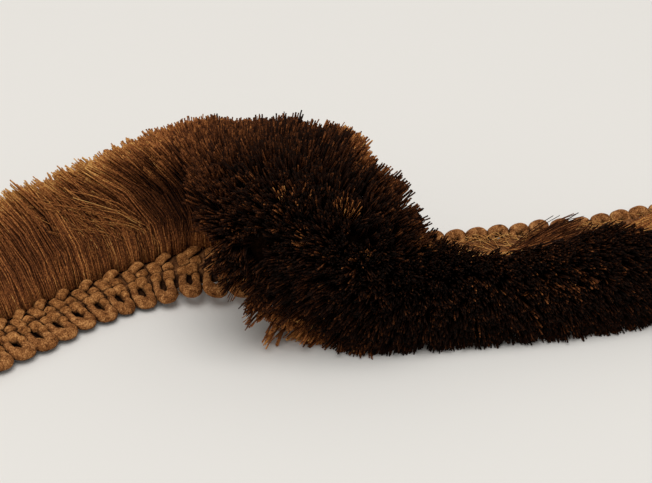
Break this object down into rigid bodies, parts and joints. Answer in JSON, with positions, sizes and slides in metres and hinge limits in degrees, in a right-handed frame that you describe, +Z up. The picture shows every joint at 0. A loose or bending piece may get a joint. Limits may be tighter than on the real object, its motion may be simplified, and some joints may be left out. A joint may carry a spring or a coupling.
{
  "type": "brush fringe",
  "caption": "Brown brush fringe trim: a woven heading with looped cord along one edge and a dense cut brush on the other, lying in a half twist.",
  "frame": {"origin": "on the table, under the middle of the trim's overall box", "axes": "+X runs along the trim from its face-up end to its face-down end, +Y points to where the brush of the face-up end points, +Z up"},
  "size_m": [0.194, 0.0688, 0.0418],
  "materials": {
    "brush_yarn": "matt cut yarn",
    "heading_weave": "matt woven band with a plaited face",
    "loop_cord": "matt twisted cord"
  },
  "bodies": {
    "root": {"brush": "brush_yarn", "heading": "heading_weave", "loop_edge": "loop_cord"}
  },
  "joints": []
}
